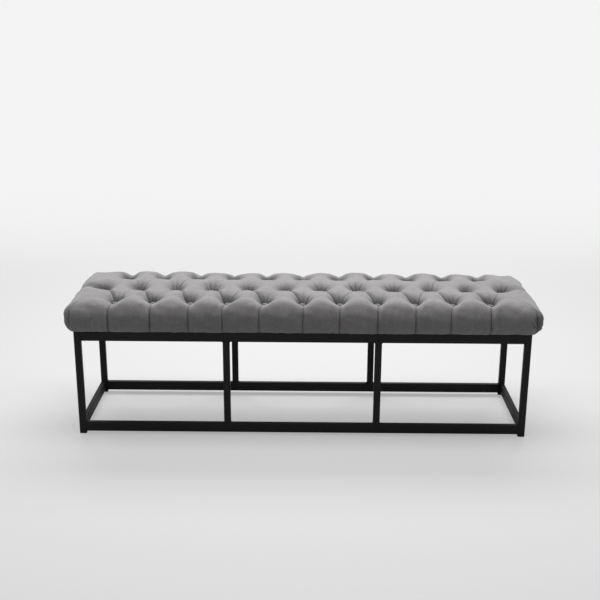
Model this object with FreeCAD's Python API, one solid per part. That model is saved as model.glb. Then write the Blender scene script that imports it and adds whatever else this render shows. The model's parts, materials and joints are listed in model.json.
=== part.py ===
import FreeCAD, Part
import math
import os

# Upholstered bench: a deep-buttoned seat on a welded frame of black steel tube.
# Millimetres, +Z up, X along the bench, front towards -Y.
# The origin is on the floor at the middle of the bench.

Vector = FreeCAD.Vector
UP = Vector(0, 0, 1)

# Overall size
SEAT_LENGTH = 1500.0
SEAT_DEPTH = 400.0
SEAT_HEIGHT = 460.0

# Frame
FRAME_LENGTH = 1452.0
FRAME_DEPTH = 365.0
FRAME_HEIGHT = 353.0
RAIL_HEIGHT = 32.0
RAIL_WIDTH = 15.0
LEG_WIDTH = 22.0
LEG_DEPTH = 15.0
TUBE_WALL = 1.5
TUBE_CORNER = 1.6
RAIL_CLEARANCE = 9.0
MID_LEG_X = FRAME_LENGTH / 6
BEAD_LEG = 2.6

# Foot caps
CAP_HEAD = 4.0
CAP_PLUG = 18.0
CAP_FIT = 0.15
CAP_EDGE = 1.2
CAP_RIBS = 3

# Seat build-up, from the frame upwards
COVER_THICK = 1.5
WADDING_THICK = 6.0
BOARD_THICK = 15.0
BOARD_LENGTH = 1440.0
BOARD_DEPTH = 356.0
BOARD_CORNER = 14.0
HEM_EDGE_X = 701.0
HEM_EDGE_Y = 158.0
HEM_CORNER = 6.0
DUST_THICK = 0.5
DUST_GAP = 1.0
BOARD_BOTTOM = FRAME_HEIGHT + COVER_THICK
BOARD_TOP = BOARD_BOTTOM + BOARD_THICK

# Outline of the upholstery
BULGE_HEIGHT = 405.0
HEM_INSET_SIDE = 15.0
HEM_INSET_END = 19.0
SHOULDER = 50.0
CORNER_RUN = 34.0
CORNER_INSET = 22.0
END_SLICE = 0.5

# Tufting: two outer rows of 11 buttons, a middle row of 12 set half a pitch over
TUFT_PITCH = 119.5
TUFT_ROW = 126.0
OUTER_ROW_COUNT = 11
MIDDLE_ROW_COUNT = 12
BUTTON_DIP = 41.0
CREASE_DIP = 12.0
PLEAT_DIP = 12.0
PLEAT_SLOT = 6.0
PLEAT_DRAW = 4.0
OUTER_DROP = 4.0

# Buttons and twine
BUTTON_RADIUS = 9.0
BUTTON_BORE = 1.0
BUTTON_NECK = 2.5
BUTTON_RISE = 10.5
BUTTON_DOME = 3.8
BUTTON_LIFT = 0.4
TWINE_RADIUS = 0.8
TWINE_HOLE = 1.5
KNOT_RADIUS = 2.6
KNOT_RECESS_RADIUS = 4.5
KNOT_RECESS_DEPTH = 6.0
BOARD_TWINE_HOLE = 2.0

# Seat fixings: M6 screws up through welded tabs into T-nuts
TAB_LENGTH = 30.0
TAB_REACH = 22.0
TAB_THICK = 3.0
TAB_HOLE_REACH = 12.0
TAB_HOLE_RADIUS = 3.3
TAB_X = 480.0
SCREW_RADIUS = 3.0
SCREW_LENGTH = 20.0
SCREW_HEAD_RADIUS = 5.25
SCREW_HEAD_HEIGHT = 3.3
SCREW_SOCKET_RADIUS = 2.3
SCREW_SOCKET_DEPTH = 2.0
WASHER_RADIUS = 6.0
WASHER_THICK = 1.6
WASHER_HOLE = 3.2
TNUT_FLANGE_RADIUS = 9.5
TNUT_FLANGE_THICK = 1.5
TNUT_BARREL_RADIUS = 3.9
TNUT_BARREL_LENGTH = 12.0
TNUT_BORE = 3.1

# Staples
STAPLE_CROWN = 10.0
STAPLE_WIRE = 1.0
STAPLE_GAUGE = 0.6
STAPLE_LEG = 8.0
STAPLE_FROM_EDGE = 4.0
HEM_STAPLE_COUNTS = (30, 6)
DUST_STAPLE_COUNTS = (20, 4)
STAPLE_TAB_GAP = 24.0

LEG_X = (FRAME_LENGTH - LEG_WIDTH) / 2
LEG_Y = (FRAME_DEPTH - LEG_DEPTH) / 2
END_RAIL_X = (FRAME_LENGTH - RAIL_WIDTH) / 2
TOP_RAIL_Z = FRAME_HEIGHT - RAIL_HEIGHT
SPAN_Y = FRAME_DEPTH - 2 * RAIL_WIDTH
SPAN_X = FRAME_LENGTH - 2 * LEG_WIDTH


def export(name, *solids):
    """Writes one sub-part, of one solid or several, to its own STEP file."""
    shape = solids[0] if len(solids) == 1 else Part.makeCompound(list(solids))
    for solid in shape.Solids:
        if not solid.isValid() or solid.Volume <= 0:
            print("bad solid in", name)
    shape.exportStep(f"parts/{name}.step")


def box(x, y, z, centre_x, centre_y, bottom):
    """A block of size x, y, z, centred in plan, standing on bottom."""
    corner = Vector(centre_x - x / 2, centre_y - y / 2, bottom)
    return Part.makeBox(x, y, z, corner)


def cylinder(radius, height, x, y, bottom):
    return Part.makeCylinder(radius, height, Vector(x, y, bottom), UP)


def arc(start, middle, end):
    return Part.Arc(start, middle, end).toShape()


def line(start, end):
    return Part.LineSegment(start, end).toShape()


def rounded_rectangle(width, height, radius):
    """A closed wire in the XY plane, centred on the origin."""
    w, h, r = width / 2, height / 2, radius
    slack = r * (1 - math.sqrt(0.5))
    edges = []
    for turn in range(4):
        a, b = (w, h) if turn % 2 == 0 else (h, w)
        start, end = Vector(a, r - b, 0), Vector(a, b - r, 0)
        corner = Vector(a - slack, b - slack, 0)
        after = Vector(a - r, b, 0)
        pair = [line(start, end), arc(end, corner, after)]
        for edge in pair:
            edge.rotate(Vector(0, 0, 0), UP, 90 * turn)
            edges.append(edge)
    return Part.Wire(edges)


def tube(width, height, length):
    """A hollow rounded tube along +Z, width along X and height along Y."""
    outer = Part.Face(rounded_rectangle(width, height, TUBE_CORNER))
    bore_width, bore_height = width - 2 * TUBE_WALL, height - 2 * TUBE_WALL
    bore = Part.Face(rounded_rectangle(bore_width, bore_height, TUBE_CORNER / 4))
    return outer.extrude(UP * length).cut(bore.extrude(UP * length))


def leg(x, y, bottom, top):
    piece = tube(LEG_WIDTH, LEG_DEPTH, top - bottom)
    piece.translate(Vector(x, y, bottom))
    return piece


def long_rail(y, bottom):
    """A rail along X between the corner legs."""
    piece = tube(RAIL_HEIGHT, RAIL_WIDTH, SPAN_X)
    piece.rotate(Vector(0, 0, 0), Vector(0, 1, 0), 90)
    piece.translate(Vector(-SPAN_X / 2, y, bottom + RAIL_HEIGHT / 2))
    return piece


def short_rail(x, bottom):
    """A rail along Y between the front and the back."""
    piece = tube(RAIL_WIDTH, RAIL_HEIGHT, SPAN_Y)
    piece.rotate(Vector(0, 0, 0), Vector(1, 0, 0), -90)
    piece.translate(Vector(x, -SPAN_Y / 2, bottom + RAIL_HEIGHT / 2))
    return piece


def bead(corner, along, out_a, out_b, length):
    """A weld bead in the corner between two faces that open towards out_a and out_b."""
    a, b = corner + out_a * BEAD_LEG, corner + out_b * BEAD_LEG
    bulge = corner + (out_a + out_b) * (BEAD_LEG * 0.58)
    profile = Part.Face(Part.Wire([line(corner, a), arc(a, bulge, b), line(b, corner)]))
    solid = profile.extrude(along * length)
    solid.translate(along * (-length / 2))
    return solid


def weld_beads():
    """Every fillet weld of the frame, as separate solids."""
    beads = []
    bottom_top = RAIL_CLEARANCE + RAIL_HEIGHT
    seam_y, seam_x = LEG_DEPTH - 2 * TUBE_CORNER, RAIL_WIDTH - 2 * TUBE_CORNER
    for sx in (-1, 1):
        for sy in (-1, 1):
            inward_x, inward_y = Vector(-sx, 0, 0), Vector(0, -sy, 0)
            across_y, across_x = Vector(0, 1, 0), Vector(1, 0, 0)
            face_x = sx * SPAN_X / 2
            face_y = sy * SPAN_Y / 2
            for z, up in ((bottom_top, 1), (TOP_RAIL_Z, -1)):
                side = Vector(0, 0, up)
                corner = Vector(face_x, sy * LEG_Y, z)
                beads.append(bead(corner, across_y, side, inward_x, seam_y))
                corner = Vector(sx * END_RAIL_X, face_y, z)
                beads.append(bead(corner, across_x, side, inward_y, seam_x))
            for out in (-1, 1):
                x = sx * MID_LEG_X + out * LEG_WIDTH / 2
                for z, up in ((bottom_top, 1), (TOP_RAIL_Z, -1)):
                    corner = Vector(x, sy * LEG_Y, z)
                    beads.append(
                        bead(corner, across_y, Vector(0, 0, up), Vector(out, 0, 0), seam_y)
                    )
                x = sx * MID_LEG_X + out * RAIL_WIDTH / 2
                corner = Vector(x, face_y, FRAME_HEIGHT - RAIL_HEIGHT / 2)
                beads.append(
                    bead(corner, UP, inward_y, Vector(out, 0, 0), RAIL_HEIGHT - 2 * TUBE_CORNER)
                )
    return beads


def foot_cap(x, y):
    """A plastic cap: a head under the tube and a ribbed plug pressed into it."""
    head = box(LEG_WIDTH, LEG_DEPTH, CAP_HEAD, 0, 0, 0)
    upright = [e for e in head.Edges if abs(e.tangentAt(e.FirstParameter).z) > 0.9]
    head = head.makeFillet(TUBE_CORNER, upright)
    rim = [e for e in head.Edges if e.BoundBox.ZMax < 0.01]
    head = head.makeChamfer(CAP_EDGE, rim)
    bore_x, bore_y = LEG_WIDTH - 2 * TUBE_WALL, LEG_DEPTH - 2 * TUBE_WALL
    core = box(bore_x - 3, bore_y - 3, CAP_PLUG, 0, 0, CAP_HEAD)
    hollow = box(bore_x - 6, bore_y - 6, CAP_PLUG, 0, 0, CAP_HEAD + 2)
    plug = core.cut(hollow)
    for i in range(CAP_RIBS):
        z = CAP_HEAD + 3 + i * (CAP_PLUG - 5) / CAP_RIBS
        rib = box(bore_x - 2 * CAP_FIT, bore_y - 2 * CAP_FIT, 1.2, 0, 0, z)
        plug = plug.fuse(rib.cut(hollow))
    cap = head.fuse(plug).removeSplitter()
    cap.translate(Vector(x, y, 0))
    return cap


def tab_places():
    """(x, y, turn) of each seat tab's screw hole: turn points the tab inwards."""
    reach = SPAN_Y / 2 - TAB_HOLE_REACH
    places = [(x, sy * reach, 90 * -sy) for sy in (-1, 1) for x in (-TAB_X, 0, TAB_X)]
    end_reach = FRAME_LENGTH / 2 - RAIL_WIDTH - TAB_HOLE_REACH
    return places + [(sx * end_reach, 0, 90 + 90 * sx) for sx in (-1, 1)]


def seat_tabs():
    tabs = []
    for x, y, turn in tab_places():
        tab = Part.makeBox(TAB_REACH, TAB_LENGTH, TAB_THICK, Vector(-TAB_HOLE_REACH, -TAB_LENGTH / 2, 0))
        free = [
            e
            for e in tab.Edges
            if abs(e.tangentAt(e.FirstParameter).z) > 0.9 and e.BoundBox.XMin > 0
        ]
        tab = tab.makeFillet(4.0, free).cut(cylinder(TAB_HOLE_RADIUS, TAB_THICK, 0, 0, 0))
        tab.rotate(Vector(0, 0, 0), UP, turn)
        tab.translate(Vector(x, y, FRAME_HEIGHT - TAB_THICK))
        tabs.append(tab)
    return tabs


def seat_screw(x, y):
    bottom = FRAME_HEIGHT - TAB_THICK - WASHER_THICK
    shank = cylinder(SCREW_RADIUS, SCREW_LENGTH, x, y, bottom)
    head = cylinder(SCREW_HEAD_RADIUS, SCREW_HEAD_HEIGHT, x, y, bottom - SCREW_HEAD_HEIGHT)
    low = [e for e in head.Edges if e.BoundBox.ZMax < bottom - SCREW_HEAD_HEIGHT + 0.01]
    head = head.makeFillet(2.2, low)
    socket = Part.makePolygon(
        [
            Vector(
                x + SCREW_SOCKET_RADIUS * math.cos(math.radians(60 * i)),
                y + SCREW_SOCKET_RADIUS * math.sin(math.radians(60 * i)),
                bottom - SCREW_HEAD_HEIGHT,
            )
            for i in range(7)
        ]
    )
    recess = Part.Face(Part.Wire(socket.Edges)).extrude(UP * SCREW_SOCKET_DEPTH)
    return shank.fuse(head).cut(recess).removeSplitter()


def seat_washer(x, y):
    bottom = FRAME_HEIGHT - TAB_THICK - WASHER_THICK
    disc = cylinder(WASHER_RADIUS, WASHER_THICK, x, y, bottom)
    return disc.cut(cylinder(WASHER_HOLE, WASHER_THICK, x, y, bottom))


def t_nut(x, y):
    flange = cylinder(TNUT_FLANGE_RADIUS, TNUT_FLANGE_THICK, x, y, BOARD_TOP - TNUT_FLANGE_THICK)
    barrel = cylinder(TNUT_BARREL_RADIUS, TNUT_BARREL_LENGTH, x, y, BOARD_TOP - TNUT_BARREL_LENGTH)
    bore = cylinder(TNUT_BORE, BOARD_THICK, x, y, BOARD_TOP - BOARD_THICK)
    return flange.fuse(barrel).removeSplitter().cut(bore)


def tuft_rows():
    """The button places of the front, middle and back rows."""
    rows = {}
    for name, y, count in (
        ("front", -TUFT_ROW, OUTER_ROW_COUNT),
        ("middle", 0.0, MIDDLE_ROW_COUNT),
        ("back", TUFT_ROW, OUTER_ROW_COUNT),
    ):
        rows[name] = [((i - (count - 1) / 2) * TUFT_PITCH, y) for i in range(count)]
    return rows


def all_tufts():
    return [place for row in tuft_rows().values() for place in row]


def quarter_ellipse(run, reach):
    """1 where run is not above 0, falling to 0 at reach, as a quarter ellipse."""
    share = min(max(run / reach, 0.0), 1.0)
    return math.sqrt(1 - share * share)


class Upholstery:
    """The seat's outer form, or an inner layer of it inset by some thickness."""

    def __init__(self, inset, bottom):
        self.inset = inset
        self.bottom = bottom
        self.half_length = SEAT_LENGTH / 2 - inset
        self.half_depth = SEAT_DEPTH / 2 - inset
        self.top = SEAT_HEIGHT - inset
        self.under = (BULGE_HEIGHT - bottom) / (BULGE_HEIGHT - FRAME_HEIGHT)
        self.hem_x = self.half_length - HEM_INSET_END * self.under**2
        self.hem_y = self.half_depth - HEM_INSET_SIDE * self.under**2

    def stations(self):
        """X of every section, closest together where the form turns."""
        last = (MIDDLE_ROW_COUNT - 1) / 2 * TUFT_PITCH
        quarter = TUFT_PITCH / 4
        count = round(last / quarter)
        right = [i * quarter for i in range(count + 1)]
        right += [last + share * (self.hem_x - last) for share in (0.4, 0.75, 1.0)]
        rest = self.half_length - END_SLICE - self.hem_x
        right += [self.hem_x + share * rest for share in (0.5, 0.85, 1.0)]
        return [-x for x in reversed(right[1:])] + right

    def section(self, x):
        """A closed wire in the plane of x: bottom, sides, outer pillows, centre pillow."""
        run = abs(x)
        last = (MIDDLE_ROW_COUNT - 1) / 2 * TUFT_PITCH
        at_end = run > last + 0.01
        pitches = run / TUFT_PITCH
        phase = 1.0 if at_end else 2 * abs(pitches - round(pitches))
        high = quarter_ellipse(run - (self.half_length - SHOULDER), SHOULDER)
        low = math.sqrt(max(self.half_length - run, 0.0) / HEM_INSET_END) / self.under
        low = min(low, 1.0)
        corner = quarter_ellipse(run - (self.half_length - CORNER_RUN), CORNER_RUN)
        draw = CORNER_INSET * (1 - corner)

        at_button = abs(2 * phase - 1) ** 1.5
        crease = CREASE_DIP + (BUTTON_DIP - CREASE_DIP) * at_button
        if at_end:
            crease = CREASE_DIP
        pleat = PLEAT_DIP * (1 - min(2 * phase, 1.0)) ** 1.5
        pull = PLEAT_DRAW * (1 - min(2 * phase, 1.0)) ** 1.5
        slot = max(TUFT_ROW * (1 - phase), PLEAT_SLOT)
        shoulder_y = self.half_depth - 0.42 * SHOULDER
        middle_y = (slot + shoulder_y) / 2 + 8.0

        rise = self.top - BULGE_HEIGHT
        crown = rise if phase < 0.99 else rise - crease

        def point(y, z):
            scale = high if z >= 0 else low * (BULGE_HEIGHT - self.bottom)
            side = max(abs(y) - draw * abs(y) / self.half_depth, 0.0)
            return Vector(x, math.copysign(side, y), BULGE_HEIGHT + z * scale)

        shoulder_z = rise * quarter_ellipse(0.58 * SHOULDER, SHOULDER) - pleat * 0.7
        outer = [
            (slot, rise - crease),
            (middle_y, rise - 1.4 * pleat - OUTER_DROP),
            (shoulder_y, shoulder_z),
            (self.half_depth - 0.10 * SHOULDER - pull, rise * 0.5),
            (self.half_depth - pull, 0.0),
            (self.half_depth - 0.25 * (self.half_depth - self.hem_y) - pull / 2, -0.5),
            (self.hem_y, -1.0),
        ]
        right = [point(y, z) for y, z in outer]
        left = [point(-y, z) for y, z in outer]
        edges = [line(left[6], right[6])]
        edges += [arc(right[6], right[5], right[4]), arc(right[4], right[3], right[2])]
        edges += [arc(right[2], right[1], right[0])]
        if phase < 0.99:
            edges += [arc(right[0], point(0.0, crown), left[0])]
        else:
            edges += [line(right[0], left[0])]
        edges += [arc(left[0], left[1], left[2])]
        edges += [arc(left[2], left[3], left[4]), arc(left[4], left[5], left[6])]
        return Part.Wire(edges)

    def solid(self):
        return Part.makeLoft([self.section(x) for x in self.stations()], True, True)


def hem_opening(height, bottom):
    """The block inside the hem's raw edge, where the underside of the board is bare."""
    outline = rounded_rectangle(2 * HEM_EDGE_X, 2 * HEM_EDGE_Y, HEM_CORNER)
    block = Part.Face(outline).extrude(UP * height)
    block.translate(Vector(0, 0, bottom))
    return block


def twine_holes(radius, bottom, top):
    holes = [cylinder(radius, top - bottom, x, y, bottom) for x, y in all_tufts()]
    return Part.makeCompound(holes)


def seat_board():
    outline = rounded_rectangle(BOARD_LENGTH, BOARD_DEPTH, BOARD_CORNER)
    board = Part.Face(outline).extrude(UP * BOARD_THICK)
    board.translate(Vector(0, 0, BOARD_BOTTOM))
    board = board.cut(twine_holes(BOARD_TWINE_HOLE, BOARD_BOTTOM, BOARD_TOP))
    recess_top = BOARD_BOTTOM + KNOT_RECESS_DEPTH
    board = board.cut(twine_holes(KNOT_RECESS_RADIUS, BOARD_BOTTOM, recess_top))
    cuts = []
    for x, y, turn in tab_places():
        flange_bottom = BOARD_TOP - TNUT_FLANGE_THICK
        cuts.append(cylinder(TNUT_FLANGE_RADIUS, TNUT_FLANGE_THICK, x, y, flange_bottom))
        cuts.append(cylinder(TNUT_BARREL_RADIUS, BOARD_THICK, x, y, BOARD_BOTTOM))
    cuts += staple_legs(hem_staple_places(), FRAME_HEIGHT)
    cuts += staple_legs(dust_staple_places(), BOARD_BOTTOM - DUST_THICK)
    return board.cut(Part.makeCompound(cuts))


def seat_cover(outer, inner):
    """The fabric: the outer form less what fills it, open inside the hem."""
    cover = outer.cut(inner)
    cuts = [hem_opening(COVER_THICK, FRAME_HEIGHT)]
    cuts += staple_legs(hem_staple_places(), FRAME_HEIGHT)
    cuts.append(twine_holes(TWINE_HOLE, BOARD_TOP, SEAT_HEIGHT))
    return cover.cut(Part.makeCompound(cuts))


def wadding(inner, core, board_space):
    """The soft layer between the fabric and the foam, down to the board's underside."""
    layer = inner.cut(core).cut(board_space)
    return layer.cut(twine_holes(TWINE_HOLE, BOARD_TOP, SEAT_HEIGHT))


def dust_cover():
    bottom = BOARD_BOTTOM - DUST_THICK
    outline = rounded_rectangle(
        2 * (HEM_EDGE_X - DUST_GAP), 2 * (HEM_EDGE_Y - DUST_GAP), HEM_CORNER
    )
    sheet = Part.Face(outline).extrude(UP * DUST_THICK)
    sheet.translate(Vector(0, 0, bottom))
    cuts = [cylinder(TNUT_BARREL_RADIUS, DUST_THICK, x, y, bottom) for x, y, turn in tab_places()]
    cuts += staple_legs(dust_staple_places(), bottom)
    return sheet.cut(Part.makeCompound(cuts))


def edge_places(half_x, half_y, counts):
    """(x, y, along_y) spread round a rectangle, clear of the tabs and the cross bars."""
    places = []
    blocked_x = (-TAB_X, -MID_LEG_X, 0.0, MID_LEG_X, TAB_X)
    for i in range(counts[0]):
        x = half_x * ((2 * i + 1) / counts[0] - 1)
        if min(abs(x - blocked) for blocked in blocked_x) > STAPLE_TAB_GAP:
            places += [(x, -half_y, False), (x, half_y, False)]
    for i in range(counts[1]):
        y = half_y * ((2 * i + 1) / counts[1] - 1)
        if abs(y) > STAPLE_TAB_GAP:
            places += [(-half_x, y, True), (half_x, y, True)]
    return places


def hem_staple_places():
    half_x, half_y = HEM_EDGE_X + STAPLE_FROM_EDGE, HEM_EDGE_Y + STAPLE_FROM_EDGE
    return edge_places(half_x, half_y, HEM_STAPLE_COUNTS)


def dust_staple_places():
    half_x, half_y = HEM_EDGE_X - STAPLE_FROM_EDGE, HEM_EDGE_Y - STAPLE_FROM_EDGE
    return edge_places(half_x, half_y, DUST_STAPLE_COUNTS)


def staple_legs(places, under):
    """The two legs of each staple, from under upwards."""
    legs = []
    reach = (STAPLE_CROWN - STAPLE_WIRE) / 2
    for x, y, along_y in places:
        for side in (-reach, reach):
            if along_y:
                legs.append(box(STAPLE_WIRE, STAPLE_WIRE, STAPLE_LEG, x, y + side, under))
            else:
                legs.append(box(STAPLE_WIRE, STAPLE_WIRE, STAPLE_LEG, x + side, y, under))
    return legs


def staples(places, under):
    solids = []
    legs = staple_legs(places, under)
    for i, (x, y, along_y) in enumerate(places):
        long_x, long_y = (STAPLE_WIRE, STAPLE_CROWN) if along_y else (STAPLE_CROWN, STAPLE_WIRE)
        crown = box(long_x, long_y, STAPLE_GAUGE, x, y, under - STAPLE_GAUGE)
        solids.append(crown.fuse(legs[2 * i]).fuse(legs[2 * i + 1]).removeSplitter())
    return solids


def tuft_button(x, y):
    """A covered button: a short neck in the dimple and a domed top with a rounded rim."""
    foot = SEAT_HEIGHT - BUTTON_DIP + BUTTON_LIFT
    rim = foot + BUTTON_RISE
    crown = rim + BUTTON_DOME
    radius = BUTTON_RADIUS
    under = Vector(x + radius - 1.0, y, rim - 0.6)
    edge = Vector(x + radius, y, rim + 0.4)
    over = Vector(x + radius - 0.6, y, rim + 1.2)
    flat, height = radius - 0.6, BUTTON_DOME - 1.2
    sphere = (flat**2 + height**2) / (2 * height)
    sag = sphere - math.sqrt(sphere**2 - (flat / 2) ** 2)
    slope = Vector(x + flat / 2, y, crown - sag)
    top = Vector(x, y, crown)
    base = Vector(x, y, rim - 2.0)
    edges = [
        line(base, Vector(x + BUTTON_NECK, y, rim - 2.0)),
        line(Vector(x + BUTTON_NECK, y, rim - 2.0), under),
        arc(under, edge, over),
        arc(over, slope, top),
        line(top, base),
    ]
    dome = Part.Face(Part.Wire(edges)).revolve(Vector(x, y, 0), UP, 360)
    neck = cylinder(BUTTON_NECK, BUTTON_RISE - 1.0, x, y, foot)
    bore = cylinder(BUTTON_BORE, crown - 2.0 - foot, x, y, foot)
    return dome.fuse(neck).cut(bore)


def tuft_twine(x, y):
    """The twine from the button down through the board, with its knot in the recess."""
    knot_z = BOARD_BOTTOM + KNOT_RECESS_DEPTH - KNOT_RADIUS
    top = SEAT_HEIGHT - BUTTON_DIP + BUTTON_LIFT + BUTTON_RISE + BUTTON_DOME - 2.5
    strand = cylinder(TWINE_RADIUS, top - knot_z, x, y, knot_z)
    knot = Part.makeSphere(KNOT_RADIUS, Vector(x, y, knot_z))
    return strand.fuse(knot)


def build_frame():
    bottom_rail = RAIL_CLEARANCE
    rail_y = (FRAME_DEPTH - RAIL_WIDTH) / 2
    for side, sy in (("front", -1), ("back", 1)):
        export(f"top_rail_{side}", long_rail(sy * rail_y, TOP_RAIL_Z))
        export(f"bottom_rail_{side}", long_rail(sy * rail_y, bottom_rail))
    for side, sx in (("left", -1), ("right", 1)):
        export(f"top_rail_{side}", short_rail(sx * END_RAIL_X, TOP_RAIL_Z))
        export(f"bottom_rail_{side}", short_rail(sx * END_RAIL_X, bottom_rail))
        export(f"cross_bar_{side}", short_rail(sx * MID_LEG_X, TOP_RAIL_Z))
    for depth, sy in (("front", -1), ("back", 1)):
        for side, sx in (("left", -1), ("right", 1)):
            x, y = sx * LEG_X, sy * LEG_Y
            export(f"leg_{depth}_{side}", leg(x, y, CAP_HEAD, FRAME_HEIGHT))
            middle = leg(sx * MID_LEG_X, y, bottom_rail + RAIL_HEIGHT, TOP_RAIL_Z)
            export(f"leg_{depth}_mid_{side}", middle)
            export(f"foot_cap_{depth}_{side}", foot_cap(x, y))
    export("weld_beads", *weld_beads())
    export("seat_tabs", *seat_tabs())


def build_seat():
    outer = Upholstery(0.0, FRAME_HEIGHT).solid()
    inner = Upholstery(COVER_THICK, BOARD_BOTTOM).solid()
    core = Upholstery(COVER_THICK + WADDING_THICK, BOARD_TOP).solid()
    outline = rounded_rectangle(BOARD_LENGTH, BOARD_DEPTH, BOARD_CORNER)
    board_space = Part.Face(outline).extrude(UP * BOARD_THICK)
    board_space.translate(Vector(0, 0, BOARD_BOTTOM))
    export("seat_board", seat_board())
    export("foam_core", core.cut(twine_holes(TWINE_HOLE, BOARD_TOP, SEAT_HEIGHT)))
    export("wadding", wadding(inner, core, board_space))
    export("seat_cover", seat_cover(outer, inner))
    export("dust_cover", dust_cover())
    export("cover_staples", *staples(hem_staple_places(), FRAME_HEIGHT))
    export("dust_cover_staples", *staples(dust_staple_places(), BOARD_BOTTOM - DUST_THICK))
    for row, places in tuft_rows().items():
        export(f"tuft_buttons_{row}", *[tuft_button(x, y) for x, y in places])
        export(f"tuft_twine_{row}", *[tuft_twine(x, y) for x, y in places])


def build_fixings():
    places = tab_places()
    export("seat_screws", *[seat_screw(x, y) for x, y, turn in places])
    export("seat_washers", *[seat_washer(x, y) for x, y, turn in places])
    export("t_nuts", *[t_nut(x, y) for x, y, turn in places])


if __name__ == "__main__":
    os.makedirs("parts", exist_ok=True)
    build_frame()
    build_seat()
    build_fixings()
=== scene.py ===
import json
import math

import bpy
import numpy as np
from mathutils import Matrix, Vector


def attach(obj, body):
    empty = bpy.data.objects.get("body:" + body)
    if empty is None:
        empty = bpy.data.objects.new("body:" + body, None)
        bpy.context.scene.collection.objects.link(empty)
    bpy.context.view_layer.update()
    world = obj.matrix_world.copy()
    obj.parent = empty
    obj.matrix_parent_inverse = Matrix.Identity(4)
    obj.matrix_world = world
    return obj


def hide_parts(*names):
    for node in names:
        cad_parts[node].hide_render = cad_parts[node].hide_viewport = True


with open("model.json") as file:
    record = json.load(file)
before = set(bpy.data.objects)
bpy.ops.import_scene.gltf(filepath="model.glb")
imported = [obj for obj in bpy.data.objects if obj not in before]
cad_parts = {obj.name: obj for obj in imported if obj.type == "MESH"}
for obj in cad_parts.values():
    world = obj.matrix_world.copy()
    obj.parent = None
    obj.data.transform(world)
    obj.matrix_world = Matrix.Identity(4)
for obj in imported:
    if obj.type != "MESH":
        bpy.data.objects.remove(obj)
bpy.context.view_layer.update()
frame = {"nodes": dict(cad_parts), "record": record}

# Seat form, in metres
PITCH = 0.1195
ROW = 0.126
HALF_LENGTH = 0.753
HALF_DEPTH = 0.200
PLATEAU_Z = 0.4575
BULGE_Z = 0.400
HEM_Z = 0.3536
HEM_INSET = 0.013
HEM_END_INSET = 0.012
HEM_CURVE = 3.2
HEM_EDGE_X = 0.701
HEM_EDGE_Y = 0.158
HEM_EDGE_CORNER = 0.006
HEM_LIFT = 0.0003
SHOULDER = 0.054
CORNER_RADIUS = 0.036
CORNER_SHOULDER = 0.040
CORNER_BULGE = 0.003
CORNER_BULGE_Z = 0.412
CORNER_DROOP = 0.018
CORNER_REACH = 0.150

# Corner gathers. A pair of values is for the left (-1) and the right (1) end
GATHER_DEPTH = {-1: 0.0018, 1: 0.0034}
GATHER_SLANT = {-1: 0.0, 1: 0.45}
GATHER_PITCH = 0.0125
FINE_GATHER_PITCH = 0.0071
GATHER_REACH_SIDE = 0.022
GATHER_REACH_END = 0.036
CORNER_FOLD_PLACE = -0.005
CORNER_FOLD_WIDTH = 0.0040
CORNER_FOLD_DEPTH = 0.0072
END_SWELL = {-1: 0.0, 1: 0.006}

# Tufting. CREASE_BLEND is the power that merges creases where they meet
CREASE_BLEND = 3.0
SOFT_CREASE = 0.0060
SHARP_CREASE = 0.0020
CREASE_REACH = 0.042
EDGE_SOFT = 0.0120
EDGE_REACH = 0.032
WALL_SOFT = 0.0020
WALL_SHARP = 0.0052
WALL_REACH = 0.016
SHARP_WIDTH = 0.0026
BUTTON_DIP = 0.0160
BUTTON_REACH = 0.064
BUTTON_SLOPE = 1.35
PIT_DIP = 0.022
PIT_REACH = 0.023
# PIT_SHADE, GROOVE_SHADE and FOLD_SHADE are painted shade: how far the cloth is darkened in the
# pits, the radial grooves and the crisp folds
PIT_SHADE = 0.95
PIT_SHADE_REACH = 0.027
GROOVE_DEPTH = 0.0040
GROOVE_SHADE = 0.45
FOLD_SHADE = 0.6
FOLD_SHADE_WIDTH = 0.0022
LIP_OUT = 0.0042
LIP_UNDER = 0.0030
LIP_DEPTH = 0.0045

# Uneven stuffing and weave: how far each kind of noise moves the cloth
SWELL_DEPTH = 0.0010
RIPPLE_DEPTH = 0.00035
STREAK_DEPTH = 0.0008
WARP_REACH = 0.0022

# Depth and crispness of the pleats between the rows, by where they leave an outer button
DIAGONALS = {
    "front_left": (1.0, 1.8),
    "front_right": (0.7, 0.0),
    "back_left": (0.7, 0.1),
    "back_right": (0.7, 0.0),
}

# How far the foot of each pleat stands from its button, left to right, as the photo shows it
PLEAT_LEAN = {
    -1: (-0.015, -0.002, 0.0, -0.014, -0.017, 0.003, -0.003, -0.002, -0.002, -0.012, -0.006),
    1: (0.004, -0.006, 0.008, 0.002, -0.010, -0.003, 0.006, 0.011, -0.004, 0.003, 0.009),
}

# Thread spacing of the woven cloth
THREAD_PITCH = 0.0022

# Cloth simulation
CLOTH_FRAMES = 6
CLOTH_CAP = 0.003
SMOOTH_PASSES = 8
HOLD_BUTTON_REACH = 0.016
HOLD_CREASE_REACH = 0.006
HOLD_LEVELS = 20
CLOTH_SETTINGS = {
    "quality": 4,
    "mass": 0.3,
    "tension_stiffness": 20.0,
    "compression_stiffness": 20.0,
    "shear_stiffness": 8.0,
    "bending_stiffness": 0.4,
    "use_pressure": True,
    "uniform_pressure_force": 3.0,
    "vertex_group_mass": "held",
}

# Mesh density
DIAGONAL_STEPS = 26
DIAGONAL_PULL = 0.45
COLUMN_STEPS = 52
COLUMN_PULL = 0.3
CORNER_FACTOR = 5
WALL_STEPS = 28
SHOULDER_STEPS = 40
TOP_STEPS = 24
WELD_DISTANCE = 0.0002

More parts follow.
